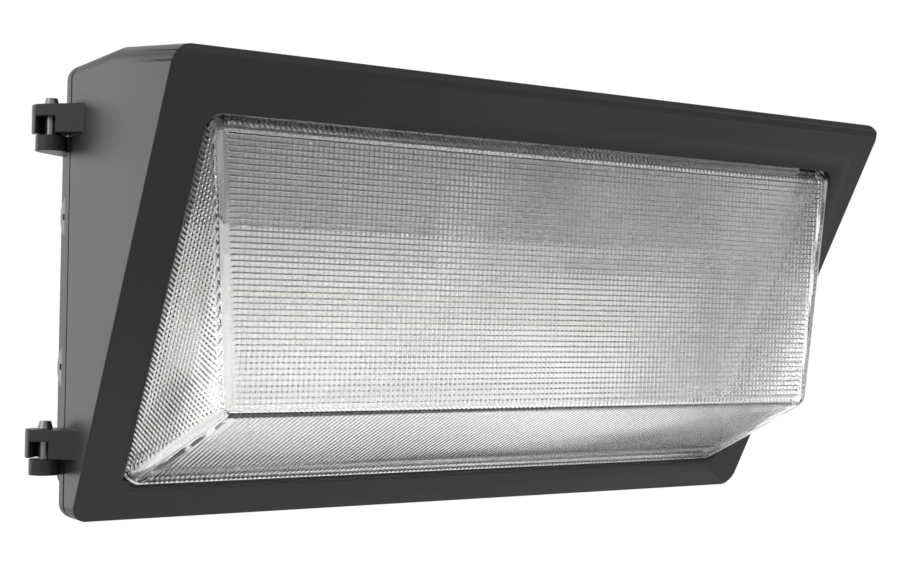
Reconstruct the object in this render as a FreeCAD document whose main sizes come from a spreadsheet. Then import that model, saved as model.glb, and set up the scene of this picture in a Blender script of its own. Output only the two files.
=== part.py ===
import FreeCAD, Part
import math
import os
import Sketcher
from FreeCAD import Placement, Rotation, Vector

# A side-hinged outdoor wall pack light. +X runs to the right as one faces the light, +Y runs
# into the wall and +Z up. The origin is the centre of the flat back that rests on the wall.
# All sizes are in millimetres, and angles in degrees.

SIZES = (
    # outside of the two castings
    ("front_width", 460),
    ("front_height", 240.5),
    ("corner_radius", 9),
    ("back_depth", 45),
    ("parting_gap", 1.2),
    # back housing
    ("rim_thickness", 6.9),
    ("tray_inset", 10),
    ("tray_corner", 12),
    ("tray_wall", 4),
    ("back_wall", 4),
    ("back_edge_bevel", 2),
    ("groove_depth", 2),
    ("groove_width", 7),
    ("groove_lip", 2),
    ("gasket_squeeze_gap", 0.3),
    ("gasket_side_gap", 0.2),
    # wall fixing and supply entry in the back
    ("wall_hole_inset_across", 25),
    ("wall_hole_inset_up", 35.25),
    ("wall_hole_diameter", 7),
    ("supply_hole_diameter", 22),
    ("supply_hole_height", 34),
    ("supply_collar_wall", 4),
    ("supply_collar_length", 6),
    # conduit entries in the two sides, in a pad that thickens the wall inside
    ("entry_spacing", 82),
    ("entry_back", 17),
    ("entry_diameter", 21),
    ("entry_pad_thickness", 8),
    ("entry_pad_margin", 4),
    ("plug_flange_diameter", 24),
    ("plug_flange_height", 1.6),
    ("plug_thread_length", 9),
    ("plug_fit", 0.1),
    ("plug_slot_width", 3),
    ("plug_slot_depth", 1),
    # hinge on the left side
    ("pin_outset", 9.2),
    ("pin_back", 3.75),
    ("pin_diameter", 7),
    ("pin_running_gap", 0.05),
    ("pin_head_base", 8),
    ("pin_head_top", 6),
    ("pin_head_height", 3.7),
    ("pin_head_gap", 0.3),
    ("pin_socket", 3),
    ("pin_socket_depth", 1.8),
    ("lug_diameter", 16),
    ("lug_height", 8.2),
    ("lug_floor", 1.5),
    ("lug_upper_inset", 39.25),
    ("lug_lower_inset", 32.25),
    ("lug_web_reach", 29),
    ("lug_overlap", 1),
    ("bracket_gap", 0.8),
    ("bracket_height", 15),
    ("bracket_bridge", 6.3),
    ("bracket_nose_radius", 10),
    ("bracket_nose_start", 140),
    ("bracket_nose_end", 225),
    ("bracket_back_radius", 8.7),
    ("bracket_back_clearance", 0.6),
    ("bracket_hollow_radius", 5.5),
    ("bracket_window_left", 4.3),
    ("bracket_window_right", 7),
    # closing lugs and captive screws on the right side
    ("latch_outset", 9.2),
    ("latch_inset", 48.25),
    ("latch_lug_radius", 8),
    ("latch_lug_length", 14),
    ("latch_nut_length", 10),
    ("latch_hole_diameter", 4.6),
    ("latch_hole_wall", 3.5),
    ("latch_relief_diameter", 6),
    ("screw_diameter", 5),
    ("screw_neck_diameter", 4),
    ("screw_thread_gap", 0.15),
    ("screw_engagement", 7),
    ("screw_travel", 8.5),
    ("screw_head_width", 8),
    ("screw_head_height", 4),
    ("screw_head_gap", 0.2),
    # door
    ("foot_depth", 11.34),
    ("face_slope", 29.54),
    ("nose_height", 4),
    ("nose_drop", 9.9),
    ("top_flat_depth", 62),
    ("door_wall", 4.5),
    ("bezel_wall", 4),
    ("opening_side_margin", 24),
    ("opening_bottom", 19.2),
    ("opening_top_margin", 28.5),
    ("opening_corner", 8),
    ("opening_bevel", 0.8),
    # glass refractor
    ("glass_gap", 1.4),
    ("glass_taper", 10),
    ("glass_wall", 4),
    ("glass_edge_round", 7),
    ("glass_setback", 21),
    ("glass_foot_height", 60.2),
    ("glass_front_lean", 3.5),
    ("glass_bottom_slope", 23.2),
    ("flange_overlap", 7),
    ("flange_corner", 12),
    ("flange_thickness", 4),
    ("lens_gasket_thickness", 2),
    ("lens_gasket_gap", 0.2),
    # clips that hold the glass
    ("clip_boss_width", 8),
    ("clip_boss_gap", 1),
    ("clip_length", 16),
    ("clip_width", 12),
    ("clip_thickness", 1.5),
    ("clip_side_spread", 0.35),
    ("clip_top_spread", 0.27),
    ("small_head_width", 5.5),
    ("small_head_height", 2.2),
    ("small_screw_diameter", 3),
    ("small_screw_fit", 0.1),
    # reflector plate and gear cover, on posts cast in the tray
    ("post_length", 34),
    ("post_width", 9),
    ("post_inset_across", 26),
    ("post_inset_up", 9),
    ("plate_thickness", 2),
    ("plate_side_gap", 4),
    ("plate_corner", 4),
    ("sheet_end_gap", 8.25),
    ("cover_height", 56),
    ("cover_gap", 2.5),
    ("cover_thickness", 1.5),
    ("access_notch", 16),
    # light sources
    ("board_side_margin", 42),
    ("board_height", 28),
    ("board_thickness", 1.6),
    ("board_spread", 0.47),
    ("chip_size", 5),
    ("chip_thickness", 0.9),
    ("chip_end_margin", 14),
    # driver, surge protector and terminals
    ("driver_length", 190),
    ("driver_width", 40),
    ("driver_height", 27),
    ("driver_shift", -30),
    ("surge_length", 56),
    ("surge_width", 36),
    ("surge_height", 24),
    ("gear_gap", 5),
    ("ear_length", 12),
    ("ear_thickness", 3),
    ("case_bevel", 1.5),
    ("terminal_pitch", 12),
    ("terminal_depth", 18),
    ("terminal_height", 15),
    ("terminal_shift", 60),
    ("terminal_drop", 24),
    ("terminal_well", 7),
    ("terminal_funnel", 5),
    ("ground_screw_drop", 32),
    ("ground_screw_length", 2),
)

CHIPS_PER_BOARD = 14
TERMINAL_POLES = 3

doc = FreeCAD.newDocument("WallPackLight")
sheet = doc.addObject("Spreadsheet::Sheet", "Sizes")
for row, (alias, value) in enumerate(SIZES, start=1):
    sheet.set(f"A{row}", alias)
    sheet.set(f"B{row}", str(value))
    sheet.setAlias(f"B{row}", alias)
doc.recompute()

parts = []


def size(expression):
    """The number that an expression of the sheet's cells gives now."""
    return float(sheet.evalExpression(expression))


# ---- places that several pieces share, as expressions of the sheet ----
PARTING = "(-Sizes.back_depth)"
RIM_FRONT = "(-Sizes.back_depth + Sizes.parting_gap / 2)"
DOOR_REAR = "(-Sizes.back_depth - Sizes.parting_gap / 2)"
BACK_INSIDE = "(-Sizes.back_wall)"
TOP = "(Sizes.front_height / 2)"
BOTTOM = "(-Sizes.front_height / 2)"
SIDE = "(Sizes.front_width / 2)"
TRAY_SIDE = f"({SIDE} - Sizes.tray_inset)"
TRAY_TOP = f"({TOP} - Sizes.tray_inset)"
INNER_SIDE = f"({TRAY_SIDE} - Sizes.tray_wall)"
INNER_TOP = f"({TRAY_TOP} - Sizes.tray_wall)"
SLOPE_TAN = "tan(Sizes.face_slope)"
SLOPE_COS = "cos(Sizes.face_slope)"
FACE_RISE = "(Sizes.front_height - Sizes.nose_drop - Sizes.nose_height)"
FACE_LENGTH = f"({FACE_RISE} / {SLOPE_COS})"
NOSE_DEPTH = f"(Sizes.foot_depth + {FACE_RISE} * {SLOPE_TAN})"
FOOT_FRONT = f"({PARTING} - Sizes.foot_depth)"
NOSE_FRONT = f"({PARTING} - {NOSE_DEPTH})"
PIN_X = f"(-{SIDE} - Sizes.pin_outset)"
PIN_Y = f"({PARTING} + Sizes.pin_back)"
LUG_TOPS = (f"({TOP} - Sizes.lug_upper_inset)", f"({BOTTOM} + Sizes.lug_lower_inset)")
LATCH_X = f"({SIDE} + Sizes.latch_outset)"
LATCH_HEIGHTS = (f"({TOP} - Sizes.latch_inset)", f"({BOTTOM} + Sizes.latch_inset)")
ENTRY_Y = "(-Sizes.entry_back)"
ENTRY_HEIGHTS = ("Sizes.entry_spacing / 2", "-Sizes.entry_spacing / 2")
OPENING_WIDTH = "(Sizes.front_width - 2 * Sizes.opening_side_margin)"
OPENING_TOP = f"({FACE_LENGTH} - Sizes.opening_top_margin)"
OPENING_HEIGHT = f"({OPENING_TOP} - Sizes.opening_bottom)"
OPENING_MIDDLE = f"(({OPENING_TOP} + Sizes.opening_bottom) / 2)"
GLASS_WIDTH = f"({OPENING_WIDTH} - 2 * Sizes.glass_gap)"
GLASS_HEIGHT = f"({OPENING_HEIGHT} - 2 * Sizes.glass_gap)"
SEAT_DEPTH = "(Sizes.bezel_wall + Sizes.lens_gasket_thickness)"
FLANGE_BACK = f"({SEAT_DEPTH} + Sizes.flange_thickness)"
FLANGE_WIDTH = f"({GLASS_WIDTH} + 2 * Sizes.flange_overlap)"
FLANGE_HEIGHT = f"({GLASS_HEIGHT} + 2 * Sizes.flange_overlap)"
CLIP_X = f"({FLANGE_WIDTH} / 2 + Sizes.clip_boss_gap + Sizes.clip_boss_width / 2)"
CLIP_TOP = f"({OPENING_MIDDLE} + {FLANGE_HEIGHT} / 2 + Sizes.clip_boss_gap + Sizes.clip_boss_width / 2)"
PLATE_BACK = f"({BACK_INSIDE} - Sizes.post_length)"
PLATE_WIDTH = f"(2 * ({INNER_SIDE} - Sizes.plate_side_gap))"
COVER_TOP = f"({INNER_TOP} - Sizes.sheet_end_gap)"
COVER_MIDDLE = f"({COVER_TOP} - Sizes.cover_height / 2)"
PLATE_TOP = f"({COVER_TOP} - Sizes.cover_height - Sizes.cover_gap)"
PLATE_HEIGHT = f"({PLATE_TOP} + {INNER_TOP} - Sizes.sheet_end_gap)"
PLATE_MIDDLE = f"({PLATE_TOP} - {PLATE_HEIGHT} / 2)"
POST_X = f"({PLATE_WIDTH} / 2 - Sizes.post_inset_across)"
POST_RISE = f"({PLATE_HEIGHT} / 2 - Sizes.post_inset_up)"
PLATE_POSTS = [(f"{sign}{POST_X}", f"{PLATE_MIDDLE} {rise} {POST_RISE}")
               for sign in ("-", "") for rise in ("-", "+")]
COVER_POSTS = [(f"{sign}{POST_X}", COVER_MIDDLE) for sign in ("-", "")]
WALL_HOLE_X = f"({SIDE} - Sizes.wall_hole_inset_across)"
WALL_HOLE_Z = f"({TOP} - Sizes.wall_hole_inset_up)"


# ---- bodies, sketches and features ----
def new_body(label):
    """An empty body; its label is the name of the piece."""
    body = doc.addObject("PartDesign::Body", label)
    body.Label = label
    return body


def origin_plane(body, role):
    """One of the body's own three origin planes."""
    for feature in body.Origin.OriginFeatures:
        if feature.Role == role:
            return feature
    raise ValueError(role)


def new_sketch(body, name, role, place, turn=None):
    """A sketch on an origin plane, with its own origin moved to place (three expressions)."""
    sketch = body.newObject("Sketcher::SketchObject", name)
    sketch.AttachmentSupport = [(origin_plane(body, role), "")]
    sketch.MapMode = "FlatFace"
    if turn:
        axis, angle = turn
        sketch.AttachmentOffset = Placement(Vector(), Rotation(axis, size(angle)))
        sketch.setExpression("AttachmentOffset.Rotation.Angle", angle)
    for letter, expression in zip("xyz", place):
        sketch.setExpression(f"AttachmentOffset.Base.{letter}", expression)
    return sketch


def front_sketch(body, name, y, x="0", z="0"):
    """A sketch seen from the front, in the plane at depth y; a pad from it runs forwards."""
    return new_sketch(body, name, "XZ_Plane", (x, z, f"-({y})"))


def plan_sketch(body, name, z, x="0", y="0", turn=None):
    """A sketch seen from above, in the plane at height z; a pad from it runs upwards."""
    return new_sketch(body, name, "XY_Plane", (x, y, z), turn)


def side_sketch(body, name, x="0", y="0", z="0"):
    """A sketch seen from the right, in the plane at x; a pad from it runs to the right."""
    return new_sketch(body, name, "YZ_Plane", (y, z, x))


def face_sketch(body, name, depth, up, x="0"):
    """A sketch parallel to the slanted front face, depth behind it and up along it."""
    out = f"(-({depth}))"
    rise = f"({up}) * cos(Sizes.face_slope) - {out} * sin(Sizes.face_slope)"
    forward = f"({up}) * sin(Sizes.face_slope) + {out} * cos(Sizes.face_slope)"
    place = (x, f"{BOTTOM} + {rise}", f"Sizes.back_depth + Sizes.foot_depth + {forward}")
    return new_sketch(body, name, "XZ_Plane", place, (Vector(1, 0, 0), "Sizes.face_slope"))


def constrain(sketch, kind, *where, expression):
    """A dimension whose value follows an expression of the sheet's cells."""
    index = sketch.addConstraint(Sketcher.Constraint(kind, *where, size(expression)))
    sketch.setExpression(f"Constraints[{index}]", expression)


def rounded_rectangle(sketch, width, height, radius):
    """A rectangle with round corners, centred on the sketch's origin."""
    half_w = size(width) / 2
    half_h = size(height) / 2
    r = size(radius)
    first = sketch.GeometryCount
    corners = ((half_w, -half_h, -90), (half_w, half_h, 0), (-half_w, half_h, 90), (-half_w, -half_h, 180))
    for x, y, start in corners:
        centre = Vector(x - math.copysign(r, x), y - math.copysign(r, y), 0)
        circle = Part.Circle(centre, Vector(0, 0, 1), r)
        arc = Part.ArcOfCircle(circle, math.radians(start), math.radians(start + 90))
        sketch.addGeometry(arc, False)
    for index in range(4):
        leaves = sketch.getPoint(first + index, 2)
        meets = sketch.getPoint(first + (index + 1) % 4, 1)
        line = sketch.addGeometry(Part.LineSegment(leaves, meets), False)
        sketch.addConstraint(Sketcher.Constraint("Tangent", first + index, 2, line, 1))
        sketch.addConstraint(Sketcher.Constraint("Tangent", line, 2, first + (index + 1) % 4, 1))
    right, top, left, bottom = range(first + 4, first + 8)
    for line in (right, left):
        sketch.addConstraint(Sketcher.Constraint("Vertical", line))
    for line in (top, bottom):
        sketch.addConstraint(Sketcher.Constraint("Horizontal", line))
    for index in range(1, 4):
        sketch.addConstraint(Sketcher.Constraint("Equal", first, first + index))
    constrain(sketch, "Radius", first, expression=radius)
    constrain(sketch, "DistanceX", -1, 1, right, 1, expression=f"({width}) / 2")
    constrain(sketch, "DistanceX", left, 1, -1, 1, expression=f"({width}) / 2")
    constrain(sketch, "DistanceY", -1, 1, top, 1, expression=f"({height}) / 2")
    constrain(sketch, "DistanceY", bottom, 1, -1, 1, expression=f"({height}) / 2")


def circle(sketch, diameter, x="0", y="0"):
    """A circle at x, y in the sketch."""
    shape = Part.Circle(Vector(size(x), size(y), 0), Vector(0, 0, 1), size(diameter) / 2)
    index = sketch.addGeometry(shape, False)
    constrain(sketch, "Radius", index, expression=f"({diameter}) / 2")
    constrain(sketch, "DistanceX", -1, 1, index, 3, expression=x)
    constrain(sketch, "DistanceY", -1, 1, index, 3, expression=y)


def polygon(sketch, corners):
    """A closed outline through corners given as pairs of expressions."""
    points = [Vector(size(x), size(y), 0) for x, y in corners]
    first = sketch.GeometryCount
    count = len(points)
    for index, point in enumerate(points):
        sketch.addGeometry(Part.LineSegment(point, points[(index + 1) % count]), False)
    for index, (x, y) in enumerate(corners):
        after = first + (index + 1) % count
        sketch.addConstraint(Sketcher.Constraint("Coincident", first + index, 2, after, 1))
        constrain(sketch, "DistanceX", -1, 1, first + index, 1, expression=x)
        constrain(sketch, "DistanceY", -1, 1, first + index, 1, expression=y)


def rectangle(sketch, left, right, low, high):
    """An upright rectangle between four expressions."""
    polygon(sketch, ((left, low), (right, low), (right, high), (left, high)))


def hexagon(sketch, width, x="0", y="0"):
    """A regular hexagon, its width given across the flats, about x, y in the sketch."""
    radius = f"({width}) / sqrt(3)"
    corners = []
    for turn in range(0, 360, 60):
        corners.append((f"{x} + {radius} * cos({turn})", f"{y} + {radius} * sin({turn})"))
    polygon(sketch, corners)


def rounded_band(sketch, width, height, radius, band):
    """Two rounded rectangles, one inside the other by the width of the band."""
    rounded_rectangle(sketch, width, height, radius)
    inner_radius = f"max({radius} - {band}; 0.5)"
    rounded_rectangle(sketch, f"{width} - 2 * {band}", f"{height} - 2 * {band}", inner_radius)


def sector(sketch, radius, start, end):
    """A pie slice about the sketch's origin, between two angles."""
    r = size(radius)
    turns = [math.radians(size(start)), math.radians(size(end))]
    ends = [Vector(r * math.cos(turn), r * math.sin(turn), 0) for turn in turns]
    whole = Part.Circle(Vector(), Vector(0, 0, 1), r)
    arc = sketch.addGeometry(Part.ArcOfCircle(whole, *turns), False)
    out = sketch.addGeometry(Part.LineSegment(Vector(), ends[0]), False)
    back = sketch.addGeometry(Part.LineSegment(ends[1], Vector()), False)
    for pair in ((out, 2, arc, 1), (arc, 2, back, 1), (out, 1, -1, 1), (back, 2, -1, 1), (arc, 3, -1, 1)):
        sketch.addConstraint(Sketcher.Constraint("Coincident", *pair))
    constrain(sketch, "Radius", arc, expression=radius)
    for corner, angle in ((1, start), (2, end)):
        sideways = f"({radius}) * cos({angle})"
        constrain(sketch, "DistanceX", -1, 1, arc, corner, expression=sideways)


def volume_of(body):
    """The body's volume now, or 0 while it is still empty."""
    return body.Tip.Shape.Volume if body.Tip and not body.Tip.Shape.isNull() else 0.0


def pad(body, sketch, length, reverse=False, both_ways=False, taper=None):
    """Add material from a sketch, and check that the body grew."""
    before = volume_of(body)
    feature = body.newObject("PartDesign::Pad", "Pad")
    feature.Profile = sketch
    feature.setExpression("Length", length)
    feature.Reversed = reverse
    if both_ways:
        feature.SideType = "Symmetric"
    if taper:
        feature.setExpression("TaperAngle", taper)
    doc.recompute()
    if volume_of(body) <= before:
        raise RuntimeError(f"{body.Label}: {sketch.Label} added nothing")
    return feature


def pocket(body, sketch, length, reverse=False, both_ways=False):
    """Cut a sketch out of the body, and check that the body shrank."""
    before = volume_of(body)
    feature = body.newObject("PartDesign::Pocket", "Pocket")
    feature.Profile = sketch
    feature.setExpression("Length", length)
    feature.Reversed = reverse
    if both_ways:
        feature.SideType = "Symmetric"
    doc.recompute()
    if volume_of(body) >= before:
        raise RuntimeError(f"{body.Label}: {sketch.Label} cut nothing")
    return feature


def edge_names(body, wanted):
    """The names of the body's edges whose ends and middle all pass a test."""
    names = []
    for index, edge in enumerate(body.Tip.Shape.Edges, start=1):
        ends = [vertex.Point for vertex in edge.Vertexes]
        middle = edge.valueAt((edge.FirstParameter + edge.LastParameter) / 2)
        if wanted(ends + [middle]):
            names.append(f"Edge{index}")
    return names


def dress(body, kind, amount, wanted):
    """Round or bevel the edges that pass a test."""
    base = body.Tip
    names = edge_names(body, wanted)
    if not names:
        raise RuntimeError(f"{body.Label}: no edges for {kind}")
    feature = body.newObject(f"PartDesign::{kind}", kind)
    feature.Base = (base, names)
    feature.setExpression("Radius" if kind == "Fillet" else "Size", amount)
    doc.recompute()
    return feature


def keep(body, label=None):
    """Name a finished piece and put it on the list of pieces to write."""
    if label:
        body.Label = label
    parts.append(body)
    return body


def copies(label, placed):
    """One node of several copies, each a piece and the three expressions of its place."""
    links = []
    for index, (piece, place) in enumerate(placed, start=1):
        link = doc.addObject("App::Link", f"{label}_{index}")
        link.LinkedObject = piece
        for letter, expression in zip("xyz", place):
            link.setExpression(f"Placement.Base.{letter}", expression)
        links.append(link)
    group = doc.addObject("Part::Compound", label)
    group.Links = links
    return keep(group, label)


# ---- back housing: a die-cast tray with a wide rim ----
housing = new_body("back_housing")
outline = front_sketch(housing, "tray_outline", y="0")
rounded_rectangle(outline, f"2 * {TRAY_SIDE}", f"2 * {TRAY_TOP}", "Sizes.tray_corner")
pad(housing, outline, "Sizes.back_depth - Sizes.parting_gap / 2")
dress(housing, "Chamfer", "Sizes.back_edge_bevel", lambda points: all(abs(p.y) < 0.01 for p in points))

outline = front_sketch(housing, "rim_outline", y=RIM_FRONT)
rounded_rectangle(outline, "Sizes.front_width", "Sizes.front_height", "Sizes.corner_radius")
pad(housing, outline, "Sizes.rim_thickness", reverse=True)
outline = front_sketch(housing, "tray_hollow", y=RIM_FRONT)
hollow_corner = "Sizes.tray_corner - Sizes.tray_wall"
rounded_rectangle(outline, f"2 * {INNER_SIDE}", f"2 * {INNER_TOP}", hollow_corner)
pocket(housing, outline, "Sizes.back_depth - Sizes.parting_gap / 2 - Sizes.back_wall")

GROOVE_WIDTH = "(Sizes.front_width - 2 * Sizes.groove_lip)"
GROOVE_HEIGHT = "(Sizes.front_height - 2 * Sizes.groove_lip)"
GROOVE_CORNER = "(Sizes.corner_radius - Sizes.groove_lip)"
outline = front_sketch(housing, "gasket_groove", y=RIM_FRONT)
rounded_band(outline, GROOVE_WIDTH, GROOVE_HEIGHT, GROOVE_CORNER, "Sizes.groove_width")
pocket(housing, outline, "Sizes.groove_depth")

# square posts for the reflector plate and the gear cover
outline = front_sketch(housing, "posts", y=BACK_INSIDE)
for x, z in PLATE_POSTS + COVER_POSTS:
    half = "Sizes.post_width / 2"
    rectangle(outline, f"{x} - {half}", f"{x} + {half}", f"{z} - {half}", f"{z} + {half}")
pad(housing, outline, "Sizes.post_length")

# collar round the supply entry, and the pads inside the side entries
outline = front_sketch(housing, "supply_collar", y=BACK_INSIDE, z="Sizes.supply_hole_height")
circle(outline, "Sizes.supply_hole_diameter + 2 * Sizes.supply_collar_wall")
pad(housing, outline, "Sizes.supply_collar_length")
PAD_END = "(Sizes.entry_spacing / 2 + Sizes.entry_diameter / 2 + Sizes.entry_pad_margin)"
outline = front_sketch(housing, "entry_pads", y=BACK_INSIDE)
pad_face = f"({INNER_SIDE} - Sizes.entry_pad_thickness)"
pad_root = f"({INNER_SIDE} + Sizes.tray_wall / 2)"
rectangle(outline, f"-{pad_root}", f"-{pad_face}", f"-{PAD_END}", PAD_END)
rectangle(outline, pad_face, pad_root, f"-{PAD_END}", PAD_END)
pad_front = "Sizes.entry_back + Sizes.entry_diameter / 2 + Sizes.entry_pad_margin"
pad(housing, outline, f"{pad_front} - Sizes.back_wall")

# hinge lugs: a round boss with a web that runs back to the tray's side
LUG_TANGENT = "(Sizes.lug_diameter / 2 * cos(45))"
WEB_FRONT = "(Sizes.parting_gap / 2 - Sizes.pin_back)"
RIM_INSIDE = "(Sizes.pin_outset + Sizes.lug_overlap)"
TRAY_INSIDE = "(Sizes.pin_outset + Sizes.tray_inset + Sizes.lug_overlap)"
WEB_BACK = "(Sizes.lug_web_reach - Sizes.pin_back)"
for top in LUG_TOPS:
    base = f"({top} - Sizes.lug_height)"
    outline = plan_sketch(housing, "lug_boss", z=base, x=PIN_X, y=PIN_Y)
    circle(outline, "Sizes.lug_diameter")
    pad(housing, outline, "Sizes.lug_height")
    outline = plan_sketch(housing, "lug_web", z=base, x=PIN_X, y=PIN_Y)
    polygon(outline, (
        ("0", WEB_FRONT),
        (RIM_INSIDE, WEB_FRONT),
        (RIM_INSIDE, f"{WEB_FRONT} + Sizes.rim_thickness"),
        (TRAY_INSIDE, f"{WEB_FRONT} + Sizes.rim_thickness"),
        (TRAY_INSIDE, WEB_BACK),
        ("Sizes.pin_outset + Sizes.tray_inset", WEB_BACK),
        (f"-{LUG_TANGENT}", LUG_TANGENT),
    ))
    pad(housing, outline, "Sizes.lug_height")
    outline = plan_sketch(housing, "pin_hole", z=top, x=PIN_X, y=PIN_Y)
    circle(outline, "Sizes.pin_diameter + 2 * Sizes.pin_running_gap")
    pocket(housing, outline, "Sizes.lug_height - Sizes.lug_floor")


def closing_lug(body, y, z, length, web_length, reverse):
    """A round lug on the right side, with a straight web to the casting."""
    outline = front_sketch(body, "closing_lug", y=y, x=LATCH_X, z=z)
    circle(outline, "2 * Sizes.latch_lug_radius")
    pad(body, outline, length, reverse=reverse)
    outline = front_sketch(body, "closing_web", y=y, x=LATCH_X, z=z)
    radius = "Sizes.latch_lug_radius"
    rectangle(outline, "-Sizes.latch_outset - Sizes.lug_overlap", "0", f"-{radius}", radius)
    pad(body, outline, web_length, reverse=reverse)


for z in LATCH_HEIGHTS:
    closing_lug(housing, RIM_FRONT, z, "Sizes.latch_nut_length", "Sizes.rim_thickness", reverse=True)
    outline = front_sketch(housing, "latch_thread", y=RIM_FRONT, x=LATCH_X, z=z)
    circle(outline, "Sizes.screw_diameter + 2 * Sizes.screw_thread_gap")
    pocket(housing, outline, "Sizes.latch_nut_length")

# holes through the back and the sides
outline = front_sketch(housing, "wall_holes", y="0")
for sign in ("-", ""):
    for rise in ("-", ""):
        circle(outline, "Sizes.wall_hole_diameter", f"{sign}{WALL_HOLE_X}", f"{rise}{WALL_HOLE_Z}")
pocket(housing, outline, "Sizes.back_wall", reverse=True)
outline = front_sketch(housing, "supply_hole", y="0", z="Sizes.supply_hole_height")
circle(outline, "Sizes.supply_hole_diameter")
pocket(housing, outline, "Sizes.back_wall + Sizes.supply_collar_length", reverse=True)
for sign in ("-", ""):
    outline = side_sketch(housing, "entry_holes", x=f"{sign}{TRAY_SIDE}", y=ENTRY_Y)
    for z in ENTRY_HEIGHTS:
        circle(outline, "Sizes.entry_diameter", "0", z)
    pocket(housing, outline, "Sizes.tray_wall + Sizes.entry_pad_thickness", reverse=sign == "-")

# blind thread in the back wall for the ground screw
TERMINAL_X = "Sizes.terminal_shift"
TERMINAL_Z = "(Sizes.supply_hole_height - Sizes.terminal_drop)"
GROUND_Z = f"({TERMINAL_Z} - Sizes.ground_screw_drop)"
outline = front_sketch(housing, "ground_thread", y=BACK_INSIDE, x=TERMINAL_X, z=GROUND_Z)
circle(outline, "Sizes.small_screw_diameter + 2 * Sizes.small_screw_fit")
pocket(housing, outline, "Sizes.ground_screw_length + 0.1 * Sizes.back_wall")
keep(housing)

# ---- housing gasket: lies in the rim's groove ----
gasket = new_body("housing_gasket")
outline = front_sketch(gasket, "gasket_band", y=f"{RIM_FRONT} + Sizes.groove_depth")
SIDE_GAP = "Sizes.gasket_side_gap"
rounded_band(outline, f"({GROOVE_WIDTH} - 2 * {SIDE_GAP})", f"({GROOVE_HEIGHT} - 2 * {SIDE_GAP})",
             f"({GROOVE_CORNER} - {SIDE_GAP})", f"(Sizes.groove_width - 2 * {SIDE_GAP})")
pad(gasket, outline, "Sizes.groove_depth + Sizes.parting_gap - Sizes.gasket_squeeze_gap")
keep(gasket)

# ---- side entry plugs: a slotted disc on a threaded plug ----
plugs = []
for side, sign, inward in (("left", "-", False), ("right", "", True)):
    plug = new_body(f"entry_plug_{side}")
    outline = side_sketch(plug, "plug_flange", x=f"{sign}{TRAY_SIDE}", y=ENTRY_Y)
    circle(outline, "Sizes.plug_flange_diameter")
    pad(plug, outline, "Sizes.plug_flange_height", reverse=not inward)
    outline = side_sketch(plug, "plug_thread", x=f"{sign}{TRAY_SIDE}", y=ENTRY_Y)
    circle(outline, "Sizes.entry_diameter - 2 * Sizes.plug_fit")
    pad(plug, outline, "Sizes.plug_thread_length", reverse=inward)
    flange_face = f"{sign}({TRAY_SIDE} + Sizes.plug_flange_height)"
    outline = side_sketch(plug, "plug_slot", x=flange_face, y=ENTRY_Y)
    third = "Sizes.plug_flange_diameter / 3"
    rectangle(outline, f"-{third}", third, "-Sizes.plug_slot_width / 2", "Sizes.plug_slot_width / 2")
    pocket(plug, outline, "Sizes.plug_slot_depth", reverse=not inward)
    plugs += [(plug, ("0", "0", z)) for z in ENTRY_HEIGHTS]
copies("side_entry_plugs", plugs)

# ---- hinge pins: a shoulder screw through the door's bracket into the lug ----
HEAD_FOOT = "(Sizes.bracket_gap + Sizes.bracket_height + Sizes.pin_head_gap)"
pin = new_body("hinge_pin")
outline = plan_sketch(pin, "pin_shank", z="Sizes.lug_floor - Sizes.lug_height")
circle(outline, "Sizes.pin_diameter")
pad(pin, outline, f"Sizes.lug_height - Sizes.lug_floor + {HEAD_FOOT}")
outline = plan_sketch(pin, "pin_head", z=HEAD_FOOT)
circle(outline, "Sizes.pin_head_base")
HEAD_TAPER = "atan((Sizes.pin_head_top - Sizes.pin_head_base) / 2 / Sizes.pin_head_height)"
pad(pin, outline, "Sizes.pin_head_height", taper=HEAD_TAPER)
outline = plan_sketch(pin, "pin_socket", z=f"{HEAD_FOOT} + Sizes.pin_head_height")
hexagon(outline, "Sizes.pin_socket")
pocket(pin, outline, "Sizes.pin_socket_depth")
copies("hinge_pins", [(pin, (PIN_X, PIN_Y, top)) for top in LUG_TOPS])

# ---- door: a die-cast wedge with a slanted bezel ----
door = new_body("door_frame")
outline = side_sketch(door, "door_profile")
polygon(outline, (
    (DOOR_REAR, BOTTOM),
    (FOOT_FRONT, BOTTOM),
    (NOSE_FRONT, f"{BOTTOM} + {FACE_RISE}"),
    (NOSE_FRONT, f"{TOP} - Sizes.nose_drop"),
    (f"{PARTING} - Sizes.top_flat_depth", TOP),
    (DOOR_REAR, TOP),
))
pad(door, outline, "Sizes.front_width", both_ways=True)


def on_door_corner(points):
    """The edges along the door's four long corners."""
    on_side = all(abs(abs(p.x) - size(SIDE)) < 0.01 for p in points)
    low = all(abs(p.z - size(BOTTOM)) < 0.01 for p in points)
    high = all(p.z > size(f"{TOP} - Sizes.nose_drop") - 0.01 for p in points)
    runs_back = abs(points[0].y - points[1].y) > 1
    return on_side and runs_back and (low or high)


dress(door, "Fillet", "Sizes.corner_radius", on_door_corner)

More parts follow.
